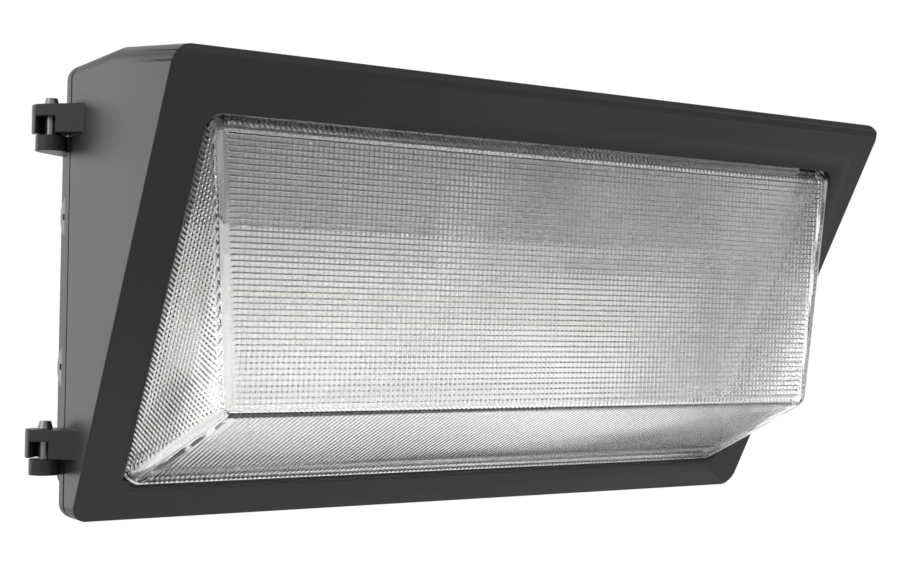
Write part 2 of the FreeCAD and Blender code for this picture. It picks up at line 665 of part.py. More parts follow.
# hollow inside, one wall smaller than the outside
SETBACK = f"(Sizes.foot_depth - Sizes.bezel_wall / {SLOPE_COS})"
TOP_FALL = f"(Sizes.nose_drop / ({NOSE_DEPTH} - Sizes.top_flat_depth))"
INNER_RISE = f"(Sizes.front_height - Sizes.door_wall + Sizes.top_flat_depth * {TOP_FALL})"
HOLLOW_REACH = f"(({SETBACK} + {INNER_RISE} * {SLOPE_TAN}) / (1 + {TOP_FALL} * {SLOPE_TAN}))"
CEILING = f"({TOP} - Sizes.door_wall)"
FLOOR = f"({BOTTOM} + Sizes.door_wall)"
outline = side_sketch(door, "door_hollow")
polygon(outline, (
    (f"{DOOR_REAR} + Sizes.door_wall", FLOOR),
    (f"{PARTING} - {SETBACK} - Sizes.door_wall * {SLOPE_TAN}", FLOOR),
    (f"{PARTING} - {HOLLOW_REACH}", f"{CEILING} - ({HOLLOW_REACH} - Sizes.top_flat_depth) * {TOP_FALL}"),
    (f"{PARTING} - Sizes.top_flat_depth", CEILING),
    (f"{DOOR_REAR} + Sizes.door_wall", CEILING),
))
pocket(door, outline, "Sizes.front_width - 2 * Sizes.door_wall", both_ways=True)

# bosses that carry the glass clips, from the bezel back to the level of the glass's flange
CLIP_RISE = f"{GLASS_HEIGHT} * Sizes.clip_side_spread"
CLIP_ROWS = (f"{OPENING_MIDDLE} - {CLIP_RISE}", OPENING_MIDDLE, f"{OPENING_MIDDLE} + {CLIP_RISE}")
SIDE_CLIPS = [(sign, up) for sign in ("-", "") for up in CLIP_ROWS]
TOP_CLIPS = (f"-{GLASS_WIDTH} * Sizes.clip_top_spread", f"{GLASS_WIDTH} * Sizes.clip_top_spread")
CLIP_PLACES = [(f"{sign}{CLIP_X}", up) for sign, up in SIDE_CLIPS] + [(x, CLIP_TOP) for x in TOP_CLIPS]
outline = face_sketch(door, "clip_bosses", depth=FLANGE_BACK, up="0")
for x, up in CLIP_PLACES:
    half = "Sizes.clip_boss_width / 2"
    rectangle(outline, f"{x} - {half}", f"{x} + {half}", f"{up} - {half}", f"{up} + {half}")
pad(door, outline, f"{FLANGE_BACK} - Sizes.bezel_wall / 2")

# opening for the glass, with a fine bevel along its front edge
outline = face_sketch(door, "glass_opening", depth="0", up=OPENING_MIDDLE)
rounded_rectangle(outline, OPENING_WIDTH, OPENING_HEIGHT, "Sizes.opening_corner")
pocket(door, outline, "1.25 * Sizes.bezel_wall")


def distance_behind_face(point):
    """How far a point lies behind the slanted front face."""
    slope = math.radians(size("Sizes.face_slope"))
    return (point.y - size(FOOT_FRONT)) * math.cos(slope) + (point.z - size(BOTTOM)) * math.sin(slope)


def on_opening_lip(points):
    """The edges of the glass opening in the slanted face."""
    in_face = all(abs(distance_behind_face(p)) < 0.01 for p in points)
    inside = all(abs(p.x) < size(OPENING_WIDTH) / 2 + 0.01 for p in points)
    low = size(f"{BOTTOM} + Sizes.opening_bottom * {SLOPE_COS}") - 0.01
    high = size(f"{BOTTOM} + {OPENING_TOP} * {SLOPE_COS}") + 0.01
    return in_face and inside and all(low < p.z < high for p in points)


dress(door, "Chamfer", "Sizes.opening_bevel", on_opening_lip)

# hinge brackets: a bridge over the lug, with a diagonal front and a window beside the pin
NOSE_TANGENT = "(Sizes.bracket_nose_radius * cos(45))"
DIAGONAL_END = "(-Sizes.bracket_nose_radius / cos(45) - Sizes.pin_outset)"
BRACKET_REAR = "(-Sizes.pin_back - Sizes.parting_gap / 2)"
WALL_INSIDE = "(Sizes.pin_outset + Sizes.lug_overlap)"
for top in LUG_TOPS:
    base = f"({top} + Sizes.bracket_gap)"
    outline = plan_sketch(door, "bracket_plan", z=base, x=PIN_X, y=PIN_Y)
    polygon(outline, (
        ("0", "0"),
        (f"-{NOSE_TANGENT}", f"-{NOSE_TANGENT}"),
        ("Sizes.pin_outset", DIAGONAL_END),
        (WALL_INSIDE, DIAGONAL_END),
        (WALL_INSIDE, BRACKET_REAR),
        ("Sizes.pin_outset - Sizes.bracket_back_clearance", BRACKET_REAR),
    ))
    pad(door, outline, "Sizes.bracket_height")
    outline = plan_sketch(door, "bracket_back", z=base, x=PIN_X, y=PIN_Y)
    circle(outline, "2 * Sizes.bracket_back_radius")
    pad(door, outline, "Sizes.bracket_height")
    outline = plan_sketch(door, "bracket_nose", z=base, x=PIN_X, y=PIN_Y)
    sector(outline, "Sizes.bracket_nose_radius", "Sizes.bracket_nose_start", "Sizes.bracket_nose_end")
    pad(door, outline, "Sizes.bracket_height")
    outline = plan_sketch(door, "bracket_hollow", z=base, x=PIN_X, y=PIN_Y)
    circle(outline, "2 * Sizes.bracket_hollow_radius")
    pocket(door, outline, "Sizes.bracket_height - Sizes.bracket_bridge", reverse=True)
    outline = plan_sketch(door, "bracket_window", z=base, x=PIN_X, y=PIN_Y,
                          turn=(Vector(0, 0, 1), "Sizes.bracket_nose_end"))
    rectangle(outline, "0", "1.1 * Sizes.bracket_nose_radius",
              "-Sizes.bracket_window_left", "Sizes.bracket_window_right")
    pocket(door, outline, "Sizes.bracket_height - Sizes.bracket_bridge", reverse=True)
    outline = plan_sketch(door, "bracket_bore", z=base, x=PIN_X, y=PIN_Y)
    circle(outline, "Sizes.pin_diameter + 2 * Sizes.pin_running_gap")
    pocket(door, outline, "Sizes.bracket_height", reverse=True)

# closing lugs: a hole for the captive screw's neck, relieved behind for its thread
for z in LATCH_HEIGHTS:
    closing_lug(door, DOOR_REAR, z, "Sizes.latch_lug_length", "Sizes.latch_lug_length", reverse=False)
    outline = front_sketch(door, "latch_hole", y=DOOR_REAR, x=LATCH_X, z=z)
    circle(outline, "Sizes.latch_hole_diameter")
    pocket(door, outline, "Sizes.latch_lug_length", reverse=True)
    outline = front_sketch(door, "latch_relief", y=DOOR_REAR, x=LATCH_X, z=z)
    circle(outline, "Sizes.latch_relief_diameter")
    pocket(door, outline, "Sizes.latch_lug_length - Sizes.latch_hole_wall", reverse=True)
keep(door)

# ---- captive screws: a thin neck behind the head lets them slide but not fall out ----
HEAD_SEAT = f"({DOOR_REAR} - Sizes.latch_lug_length - Sizes.screw_head_gap)"
NECK = "(Sizes.screw_head_gap + Sizes.latch_hole_wall + Sizes.screw_travel)"
THREAD = (f"(Sizes.screw_head_gap + Sizes.latch_lug_length + Sizes.parting_gap"
          f" + Sizes.screw_engagement - {NECK})")
for name, z in (("upper", LATCH_HEIGHTS[0]), ("lower", LATCH_HEIGHTS[1])):
    screw = new_body(f"captive_screw_{name}")
    outline = front_sketch(screw, "screw_neck", y=HEAD_SEAT, x=LATCH_X, z=z)
    circle(outline, "Sizes.screw_neck_diameter")
    pad(screw, outline, NECK, reverse=True)
    outline = front_sketch(screw, "screw_thread", y=f"{HEAD_SEAT} + {NECK}", x=LATCH_X, z=z)
    circle(outline, "Sizes.screw_diameter")
    pad(screw, outline, THREAD, reverse=True)
    outline = front_sketch(screw, "screw_head", y=HEAD_SEAT, x=LATCH_X, z=z)
    hexagon(outline, "Sizes.screw_head_width")
    pad(screw, outline, "Sizes.screw_head_height")
    keep(screw)

# ---- glass refractor: a hollow wedge with a flange behind the bezel ----
GLASS_FOOT_Y = f"({NOSE_FRONT} + Sizes.glass_setback)"
GLASS_FOOT_Z = f"({BOTTOM} + Sizes.glass_foot_height)"
FRONT_TAN = "tan(Sizes.glass_front_lean)"
FRONT_COS = "cos(Sizes.glass_front_lean)"
UNDER_TAN = "tan(Sizes.glass_bottom_slope)"
UNDER_COS = "cos(Sizes.glass_bottom_slope)"
FAR = "Sizes.front_height"


def face_point(depth, up):
    """The y and z of a point behind the slanted face and up along it."""
    y = f"({FOOT_FRONT} - ({up}) * sin(Sizes.face_slope) + ({depth}) * {SLOPE_COS})"
    z = f"({BOTTOM} + ({up}) * {SLOPE_COS} + ({depth}) * sin(Sizes.face_slope))"
    return y, z


def on_glass_edge(points):
    """The glass's outer edges that stand proud of its root."""
    return any(distance_behind_face(p) < size(SEAT_DEPTH) - 1 for p in points)


def glass_block(label, inset, rounding):
    """The glass's outer form, or the hollow inside it when inset is the wall's thickness."""
    body = new_body(label)
    side_in = f"{inset} / cos(Sizes.glass_taper)"
    narrowing = f"{FAR} * tan(Sizes.glass_taper)"
    low = f"(Sizes.opening_bottom + Sizes.glass_gap + {side_in})"
    high = f"({OPENING_TOP} - Sizes.glass_gap - {side_in})"
    half = f"({GLASS_WIDTH} / 2 - {side_in})"
    outline = side_sketch(body, "glass_profile")
    polygon(outline, (
        face_point(SEAT_DEPTH, low),
        face_point(SEAT_DEPTH, high),
        face_point(f"{SEAT_DEPTH} - {FAR}", f"{high} - {narrowing}"),
        face_point(f"{SEAT_DEPTH} - {FAR}", f"{low} + {narrowing}"),
    ))
    pad(body, outline, f"2 * {half}", both_ways=True)
    outline = plan_sketch(body, "glass_sides", z=BOTTOM, y=FOOT_FRONT,
                          turn=(Vector(1, 0, 0), "Sizes.face_slope"))
    for sign in ("-", ""):
        polygon(outline, (
            (f"{sign}{half}", SEAT_DEPTH),
            (f"{sign}({half} + {FAR})", SEAT_DEPTH),
            (f"{sign}({half} + {FAR})", f"{SEAT_DEPTH} - {FAR}"),
            (f"{sign}({half} - {narrowing})", f"{SEAT_DEPTH} - {FAR}"),
        ))
    pocket(body, outline, f"4 * {FAR}", both_ways=True)
    crossing = f"(1 - {FRONT_TAN} * {UNDER_TAN})"
    corner_y = f"({GLASS_FOOT_Y} + {inset} * (1 / {FRONT_COS} - {FRONT_TAN} / {UNDER_COS}) / {crossing})"
    corner_z = f"({GLASS_FOOT_Z} + {inset} * (1 / {UNDER_COS} - {UNDER_TAN} / {FRONT_COS}) / {crossing})"
    outline = side_sketch(body, "glass_front")
    polygon(outline, (
        (corner_y, corner_z),
        (f"{corner_y} - {FAR} * {FRONT_TAN}", f"{corner_z} + {FAR}"),
        (f"{corner_y} - {FAR}", f"{corner_z} + {FAR}"),
        (f"{corner_y} - {FAR}", f"{corner_z} - {FAR}"),
        (f"{corner_y} + {FAR}", f"{corner_z} - {FAR}"),
        (f"{corner_y} + {FAR}", f"{corner_z} - {FAR} * {UNDER_TAN}"),
    ))
    pocket(body, outline, "Sizes.front_width", both_ways=True)
    dress(body, "Fillet", rounding, on_glass_edge)
    return body


glass = glass_block("lens_outside", "0", "Sizes.glass_edge_round")
outline = face_sketch(glass, "glass_flange", depth=FLANGE_BACK, up=OPENING_MIDDLE)
WINDOW = "2 * Sizes.glass_wall / cos(Sizes.glass_taper)"
rounded_rectangle(outline, FLANGE_WIDTH, FLANGE_HEIGHT, "Sizes.flange_corner")
rounded_rectangle(outline, f"{GLASS_WIDTH} - {WINDOW}", f"{GLASS_HEIGHT} - {WINDOW}",
                  "Sizes.glass_edge_round - Sizes.glass_wall")
pad(glass, outline, "Sizes.flange_thickness")
hollow = glass_block("lens_hollow", "Sizes.glass_wall", "Sizes.glass_edge_round - Sizes.glass_wall")
lens = doc.addObject("Part::Cut", "lens")
lens.Base = glass
lens.Tool = hollow
keep(lens)

# ---- lens gasket: between the flange and the bezel ----
seal = new_body("lens_gasket")
outline = face_sketch(seal, "seal_band", depth=SEAT_DEPTH, up=OPENING_MIDDLE)
rounded_rectangle(outline, FLANGE_WIDTH, FLANGE_HEIGHT, "Sizes.flange_corner")
rounded_rectangle(outline, f"{GLASS_WIDTH} + 2 * Sizes.lens_gasket_gap",
                  f"{GLASS_HEIGHT} + 2 * Sizes.lens_gasket_gap", "Sizes.opening_corner / 2")
pad(seal, outline, "Sizes.lens_gasket_thickness")
keep(seal)

# ---- glass clips: a flat spring with its screw's head, from the boss over the flange ----
clips = []
CLIP_BACK = "Sizes.clip_boss_width / 2"
CLIP_FAR = "(Sizes.clip_length - Sizes.clip_boss_width / 2)"
CLIP_HALF = "Sizes.clip_width / 2"
CLIP_TURNS = [sign for sign, _ in SIDE_CLIPS] + ["down"] * len(TOP_CLIPS)
for index, ((x, up), turn) in enumerate(zip(CLIP_PLACES, CLIP_TURNS), start=1):
    clip = new_body(f"lens_clip_{index}")
    clip_back = f"{FLANGE_BACK} + Sizes.clip_thickness"
    outline = face_sketch(clip, "clip_plate", depth=clip_back, up=up, x=x)
    if turn == "-":
        rectangle(outline, f"-{CLIP_BACK}", CLIP_FAR, f"-{CLIP_HALF}", CLIP_HALF)
    elif turn == "":
        rectangle(outline, f"-{CLIP_FAR}", CLIP_BACK, f"-{CLIP_HALF}", CLIP_HALF)
    else:
        rectangle(outline, f"-{CLIP_HALF}", CLIP_HALF, f"-{CLIP_FAR}", CLIP_BACK)
    pad(clip, outline, "Sizes.clip_thickness")
    outline = face_sketch(clip, "clip_screw_head", depth=clip_back, up=up, x=x)
    hexagon(outline, "Sizes.small_head_width")
    pad(clip, outline, "Sizes.small_head_height", reverse=True)
    clips.append(clip)
group = doc.addObject("Part::Compound", "lens_clips")
group.Links = clips
keep(group)


# ---- reflector plate and gear cover, each with the heads of its fixing screws ----
def sheet_panel(label, middle, height, thickness, places, notch_z):
    """A flat sheet on the posts, notched over the wall holes, with a screw's head at each post."""
    body = new_body(label)
    outline = front_sketch(body, "sheet", y=PLATE_BACK, z=middle)
    rounded_rectangle(outline, PLATE_WIDTH, height, "Sizes.plate_corner")
    pad(body, outline, thickness)
    outline = front_sketch(body, "access_notches", y=PLATE_BACK)
    half = "Sizes.access_notch / 2"
    for sign in ("-", ""):
        rectangle(outline, f"{sign}({WALL_HOLE_X} - {half})", f"{sign}{INNER_SIDE}",
                  f"{notch_z} - {half}", f"{notch_z} + {half}")
    pocket(body, outline, thickness, reverse=True)
    outline = front_sketch(body, "screw_heads", y=f"{PLATE_BACK} - {thickness}")
    for x, z in places:
        hexagon(outline, "Sizes.small_head_width", x, z)
    pad(body, outline, "Sizes.small_head_height")
    keep(body)


sheet_panel("reflector_plate", PLATE_MIDDLE, PLATE_HEIGHT, "Sizes.plate_thickness", PLATE_POSTS,
            f"-{WALL_HOLE_Z}")
sheet_panel("gear_cover", COVER_MIDDLE, "Sizes.cover_height", "Sizes.cover_thickness", COVER_POSTS,
            WALL_HOLE_Z)

# ---- light boards and their chips ----
BOARD_BACK = f"({PLATE_BACK} - Sizes.plate_thickness)"
BOARD_WIDTH = f"({PLATE_WIDTH} - 2 * Sizes.board_side_margin)"
BOARD_RISE = f"{PLATE_HEIGHT} * Sizes.board_spread / 2"
CHIP_PITCH = f"(({BOARD_WIDTH} - 2 * Sizes.chip_end_margin) / {CHIPS_PER_BOARD - 1})"
chip = doc.addObject("Part::Box", "chip")
for name, expression in (("Length", "Sizes.chip_size"), ("Width", "Sizes.chip_thickness"),
                         ("Height", "Sizes.chip_size")):
    chip.setExpression(name, expression)
for name, sign in (("upper", "+"), ("lower", "-")):
    z = f"({PLATE_MIDDLE} {sign} {BOARD_RISE})"
    board = new_body(f"light_board_{name}")
    outline = front_sketch(board, "board", y=BOARD_BACK, z=z)
    rectangle(outline, f"-{BOARD_WIDTH} / 2", f"{BOARD_WIDTH} / 2", "-Sizes.board_height / 2",
              "Sizes.board_height / 2")
    pad(board, outline, "Sizes.board_thickness")
    keep(board)
    places = []
    for index in range(CHIPS_PER_BOARD):
        x = f"{CHIP_PITCH} * {index - (CHIPS_PER_BOARD - 1) / 2} - Sizes.chip_size / 2"
        y = f"{BOARD_BACK} - Sizes.board_thickness - Sizes.chip_thickness"
        places.append((chip, (x, y, f"{z} - Sizes.chip_size / 2")))
    copies(f"light_chips_{name}", places)


# ---- driver, surge protector and terminal block on the back wall ----
def gear_case(label, length, width, height, across, up):
    """A closed case with a bevelled front, and a mounting ear with its screw at each end."""
    body = new_body(label)
    outline = front_sketch(body, "case", y=BACK_INSIDE, x=across, z=up)
    rectangle(outline, f"-{length} / 2", f"{length} / 2", f"-{width} / 2", f"{width} / 2")
    pad(body, outline, height)
    front = size(f"{BACK_INSIDE} - {height}")
    dress(body, "Chamfer", "Sizes.case_bevel",
          lambda points: all(abs(p.y - front) < 0.01 for p in points))
    outline = front_sketch(body, "ears", y=BACK_INSIDE, x=across, z=up)
    half = f"({length} / 2 + Sizes.ear_length)"
    rectangle(outline, f"-{half}", half, f"-{width} / 4", f"{width} / 4")
    pad(body, outline, "Sizes.ear_thickness")
    ear_front = f"{BACK_INSIDE} - Sizes.ear_thickness"
    outline = front_sketch(body, "ear_screw_heads", y=ear_front, x=across, z=up)
    for sign in ("-", ""):
        hexagon(outline, "Sizes.small_head_width", f"{sign}({length} / 2 + Sizes.ear_length / 2)", "0")
    pad(body, outline, "Sizes.small_head_height")
    return keep(body)


DRIVER_X = "Sizes.driver_shift"
SURGE_X = (f"({DRIVER_X} + Sizes.driver_length / 2 + 2 * Sizes.ear_length + Sizes.gear_gap"
           " + Sizes.surge_length / 2)")
BLOCK_WIDTH = f"(Sizes.terminal_pitch * {TERMINAL_POLES})"
gear_case("led_driver", "Sizes.driver_length", "Sizes.driver_width", "Sizes.driver_height",
          DRIVER_X, COVER_MIDDLE)
gear_case("surge_protector", "Sizes.surge_length", "Sizes.surge_width", "Sizes.surge_height",
          SURGE_X, COVER_MIDDLE)
block = gear_case("terminal_block", BLOCK_WIDTH, "Sizes.terminal_depth", "Sizes.terminal_height",
                  TERMINAL_X, TERMINAL_Z)

# the terminal block has a well with a clamp screw in it, and a funnel for each wire
POLES = [f"Sizes.terminal_pitch * {index - (TERMINAL_POLES - 1) / 2}" for index in range(TERMINAL_POLES)]
outline = front_sketch(block, "clamp_wells", y=f"{BACK_INSIDE} - Sizes.terminal_height",
                       x=TERMINAL_X, z=TERMINAL_Z)
for x in POLES:
    half = "Sizes.terminal_well / 2"
    rectangle(outline, f"{x} - {half}", f"{x} + {half}", f"-{half}", half)
pocket(block, outline, "Sizes.terminal_height / 2")
outline = plan_sketch(block, "funnels", x=TERMINAL_X, y=f"{BACK_INSIDE} - Sizes.terminal_height / 3",
                      z=f"{TERMINAL_Z} + Sizes.terminal_depth / 2")
for x in POLES:
    half = "Sizes.terminal_funnel / 2"
    rectangle(outline, f"{x} - {half}", f"{x} + {half}", f"-{half}", half)
pocket(block, outline, "Sizes.terminal_depth / 2")

# ---- clamp screws in the wells, and the ground screw ----
clamp = new_body("clamp_screw")
outline = front_sketch(clamp, "clamp_head", y="0")
hexagon(outline, "Sizes.small_head_width")
pad(clamp, outline, "Sizes.small_head_height")
clamp_y = f"{BACK_INSIDE} - Sizes.terminal_height / 2"
copies("terminal_screws", [(clamp, (f"{TERMINAL_X} + {x}", clamp_y, TERMINAL_Z)) for x in POLES])

ground = new_body("ground_screw")
outline = front_sketch(ground, "ground_head", y=BACK_INSIDE, x=TERMINAL_X, z=GROUND_Z)
hexagon(outline, "Sizes.small_head_width")
pad(ground, outline, "Sizes.small_head_height")
outline = front_sketch(ground, "ground_shank", y=BACK_INSIDE, x=TERMINAL_X, z=GROUND_Z)
circle(outline, "Sizes.small_screw_diameter")
pad(ground, outline, "Sizes.ground_screw_length", reverse=True)
keep(ground)

# ---- check everything, then write one file for each piece ----
doc.recompute()
faults = [f"{item.Label}: {item.State}" for item in doc.Objects
          if "Invalid" in item.State or "Error" in item.State]
for item in parts:
    if item.Shape.isNull() or not item.Shape.isValid() or not item.Shape.Solids:
        faults.append(f"{item.Label}: no valid solid")
if faults:
    raise RuntimeError("; ".join(faults))
os.makedirs("parts", exist_ok=True)
for item in parts:
    item.Shape.exportStep(os.path.join("parts", f"{item.Label}.step"))
    print(item.Label, len(item.Shape.Solids), "solids", round(item.Shape.Volume), "mm3")
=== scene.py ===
import math
import bmesh
import bpy
from mathutils import Matrix, Vector


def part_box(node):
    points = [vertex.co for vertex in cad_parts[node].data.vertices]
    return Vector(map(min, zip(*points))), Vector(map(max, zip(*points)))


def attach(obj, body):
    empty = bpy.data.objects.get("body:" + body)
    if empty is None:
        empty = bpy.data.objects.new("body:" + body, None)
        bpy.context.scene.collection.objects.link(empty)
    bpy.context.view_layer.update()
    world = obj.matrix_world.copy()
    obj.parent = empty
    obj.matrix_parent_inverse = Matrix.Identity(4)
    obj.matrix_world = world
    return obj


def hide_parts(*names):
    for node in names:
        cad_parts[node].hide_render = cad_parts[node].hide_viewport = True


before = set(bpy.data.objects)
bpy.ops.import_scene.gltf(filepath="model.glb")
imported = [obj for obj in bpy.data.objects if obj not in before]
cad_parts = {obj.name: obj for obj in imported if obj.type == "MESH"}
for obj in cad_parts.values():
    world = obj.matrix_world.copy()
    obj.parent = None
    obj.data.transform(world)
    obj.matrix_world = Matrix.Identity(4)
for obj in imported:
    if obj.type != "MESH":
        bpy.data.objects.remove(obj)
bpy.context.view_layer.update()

# ---- camera and studio ----
# The camera stands where the photograph was taken from, to the left of the light and a little
# below its middle. The light hangs free over a pale floor, between soft daylight panels.
camera_data = bpy.data.cameras.new("camera")
camera_data.lens = 60.2
camera_data.sensor_width = 36
camera_data.clip_start = 0.01
camera = bpy.data.objects.new("camera", camera_data)
bpy.context.scene.collection.objects.link(camera)
camera_place = (-0.4873, -0.8185, -0.0167)
looks = Vector((0.53946, 0.84158, 0.02707))
right = Vector((0.84161, -0.53992, 0.01371))
upward = right.cross(looks)
camera_turn = Matrix((right, upward, -looks)).transposed().to_4x4()
camera.matrix_world = Matrix.Translation(camera_place) @ camera_turn
bpy.context.scene.camera = camera
bpy.context.scene.view_settings.view_transform = "Standard"


def studio_lamp(name, place, target, width, height, watts, mirrored=True):
    """A soft rectangular lamp that faces its target, and that gloss may or may not mirror."""
    lamp = bpy.data.lights.new(name, "AREA")
    lamp.shape = "RECTANGLE"
    lamp.size = width
    lamp.size_y = height
    lamp.energy = watts
    lamp_object = bpy.data.objects.new(name, lamp)
    lamp_object.visible_camera = False
    lamp_object.visible_glossy = mirrored
    bpy.context.scene.collection.objects.link(lamp_object)
    away = Vector(place) - Vector(target)
    turn = away.to_track_quat("Z", "Y").to_matrix().to_4x4()
    lamp_object.matrix_world = Matrix.Translation(place) @ turn


middle_of_light = (0, -0.1, 0)
foot_of_light = (0.1, -0.12, 0)
studio_lamp("left_window", (-2.2, -0.3, 0.7), middle_of_light, 1.6, 1.6, 24)
studio_lamp("left_back_panel", (-1.5, 2.0, 0.1), middle_of_light, 1.8, 1.8, 18)
studio_lamp("right_back_panel", (1.5, 2.0, 0.1), middle_of_light, 1.8, 1.8, 18)
studio_lamp("front_window", (0.8, -2.0, 1.2), middle_of_light, 1.6, 1.6, 39, mirrored=False)
studio_lamp("front_left_window", (-1.5, -1.5, 0.6), middle_of_light, 1.4, 1.4, 18, mirrored=False)
studio_lamp("top_strip", (0.0, -0.2, 2.0), middle_of_light, 1.6, 0.8, 14, mirrored=False)
studio_lamp("low_strip", (0.1, -0.2, -0.5), foot_of_light, 0.9, 0.2, 0.6)


def background_white(material_or_world, plain_node, output):
    """Show plain white to the camera, to gloss and through glass, and the plain node to all else."""
    nodes = material_or_world.node_tree.nodes
    links = material_or_world.node_tree.links
    path = nodes.new("ShaderNodeLightPath")
    either = nodes.new("ShaderNodeMath")
    either.operation = "MAXIMUM"
    any_of_three = nodes.new("ShaderNodeMath")
    any_of_three.operation = "MAXIMUM"
    links.new(path.outputs["Is Camera Ray"], either.inputs[0])
    links.new(path.outputs["Is Glossy Ray"], either.inputs[1])
    links.new(either.outputs[0], any_of_three.inputs[0])
    links.new(path.outputs["Is Transmission Ray"], any_of_three.inputs[1])
    glow = "ShaderNodeBackground" if output.type == "OUTPUT_WORLD" else "ShaderNodeEmission"
    white = nodes.new(glow)
    white.inputs["Color"].default_value = (1, 1, 1, 1)
    white.inputs["Strength"].default_value = 1
    mix = nodes.new("ShaderNodeMixShader")
    links.new(any_of_three.outputs[0], mix.inputs["Fac"])
    links.new(plain_node.outputs[0], mix.inputs[1])
    links.new(white.outputs[0], mix.inputs[2])
    links.new(mix.outputs[0], output.inputs["Surface"])


world = bpy.data.worlds.new("studio")
bpy.context.scene.world = world
world.use_nodes = True
sky = world.node_tree.nodes["Background"]
sky.inputs["Color"].default_value = (1, 1, 1, 1)
sky.inputs["Strength"].default_value = 0.2
background_white(world, sky, world.node_tree.nodes["World Output"])

FLOOR_HALF_WIDTH = 6
FLOOR_DROP = 0.7
floor_mesh = bmesh.new()
bmesh.ops.create_grid(floor_mesh, x_segments=1, y_segments=1, size=FLOOR_HALF_WIDTH)
bmesh.ops.translate(floor_mesh, verts=floor_mesh.verts, vec=(0, 0, -FLOOR_DROP))
floor_data = bpy.data.meshes.new("floor")
floor_mesh.to_mesh(floor_data)
floor = bpy.data.objects.new("floor", floor_data)
bpy.context.scene.collection.objects.link(floor)
floor_paint = bpy.data.materials.new("floor_paint")
floor_paint.use_nodes = True
floor_coat = floor_paint.node_tree.nodes["Principled BSDF"]
floor_coat.inputs["Base Color"].default_value = (0.6, 0.6, 0.6, 1)
floor_coat.inputs["Roughness"].default_value = 0.9
background_white(floor_paint, floor_coat, floor_paint.node_tree.nodes["Material Output"])
floor_data.materials.append(floor_paint)

# ---- back housing ----
# The die-cast aluminium tray that screws to the wall, with its hinge lugs, closing lugs and posts
# in one casting. It is powder-coated dark grey, and every edge is eased by the tumbling and the coat.


def finish_material(name, colour, roughness, metallic=0, specular=0.5, grain=0.0009, relief=0.000012,
                    unevenness=0.04):
    """A finish with a fine grain in its surface, and a faint unevenness in its tone and gloss."""
    cloud_scale = 14
    darker, lighter, mixed = 6, 7, 2
    material = bpy.data.materials.new(name)
    material.use_nodes = True
    nodes = material.node_tree.nodes
    links = material.node_tree.links
    shader = nodes["Principled BSDF"]
    shader.inputs["Metallic"].default_value = metallic
    shader.inputs["Specular IOR Level"].default_value = specular
    place = nodes.new("ShaderNodeTexCoord")
    fine = nodes.new("ShaderNodeTexNoise")
    fine.inputs["Scale"].default_value = 1 / grain
    fine.inputs["Detail"].default_value = 2
    bump = nodes.new("ShaderNodeBump")
    bump.inputs["Distance"].default_value = relief
    broad = nodes.new("ShaderNodeTexNoise")
    broad.inputs["Scale"].default_value = cloud_scale
    broad.inputs["Detail"].default_value = 3
    tone = nodes.new("ShaderNodeMix")
    tone.data_type = "RGBA"
    tone.inputs[darker].default_value = (*[share * (1 - unevenness) for share in colour], 1)
    tone.inputs[lighter].default_value = (*[share * (1 + unevenness) for share in colour], 1)
    gloss = nodes.new("ShaderNodeMapRange")
    gloss.inputs["To Min"].default_value = roughness - unevenness
    gloss.inputs["To Max"].default_value = roughness + unevenness
    links.new(place.outputs["Object"], fine.inputs["Vector"])
    links.new(place.outputs["Object"], broad.inputs["Vector"])
    links.new(fine.outputs["Fac"], bump.inputs["Height"])
    links.new(bump.outputs["Normal"], shader.inputs["Normal"])
    links.new(broad.outputs["Fac"], tone.inputs["Factor"])
    links.new(tone.outputs[mixed], shader.inputs["Base Color"])
    links.new(broad.outputs["Fac"], gloss.inputs["Value"])
    links.new(gloss.outputs["Result"], shader.inputs["Roughness"])
    return material


def show_piece(shape, name, body, slot, *materials):
    """Make the finished piece of a bmesh, and let it ride on its body."""
    data = bpy.data.meshes.new(name)
    shape.to_mesh(data)
    for material in materials:
        data.materials.append(material)
    piece = bpy.data.objects.new(name, data)
    bpy.context.scene.collection.objects.link(piece)
    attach(piece, body)
    return piece


SAME_PLACE = 1e-6
STILL_FLAT = math.radians(0.5)
SOFT_EDGE = math.radians(28)
SHARP_EDGE = math.radians(35)


def joined_copy(node):
    """The shape of a piece of the frame, with its loose triangles joined into whole faces."""
    shape = bmesh.new()
    shape.from_mesh(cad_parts[node].data)
    bmesh.ops.remove_doubles(shape, verts=shape.verts, dist=SAME_PLACE)
    bmesh.ops.dissolve_limit(shape, angle_limit=STILL_FLAT, verts=shape.verts, edges=shape.edges)
    return shape


def eased_copy(node, ease, shortest=0.001):
    """The shape of a piece of the frame, with its sharp edges eased."""
    shape = joined_copy(node)
    edges = [edge for edge in shape.edges if edge.calc_face_angle() > SHARP_EDGE
             and edge.calc_length() > shortest]
    rounds = set(bmesh.ops.bevel(shape, geom=edges, offset=ease, offset_type="OFFSET", affect="EDGES",
                                 segments=2, profile=0.5, material=-1, clamp_overlap=False)["faces"])
    for face in shape.faces:
        face.smooth = True
    for edge in shape.edges:
        edge.smooth = edge.calc_face_angle() < SOFT_EDGE or any(face in rounds for face in edge.link_faces)
    return shape


def even_shading(piece):
    """Keep the flats flat and the eased edges round in the shading."""
    refine = piece.modifiers.new("even_shading", "WEIGHTED_NORMAL")
    refine.keep_sharp = True


def dress(node, name, body, slot, material, ease, shortest=0.001):
    """Replace a piece of the frame by its eased copy in its own finish."""
    piece = show_piece(eased_copy(node, ease, shortest), name, body, slot, material)
    even_shading(piece)
    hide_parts(node)


powder_coat = finish_material("dark_grey_powder_coat", (0.022, 0.0223, 0.0227), 0.38, specular=0.12)
dress("back_housing", "housing_casting", "housing", "casting_coat", powder_coat, ease=0.0004)

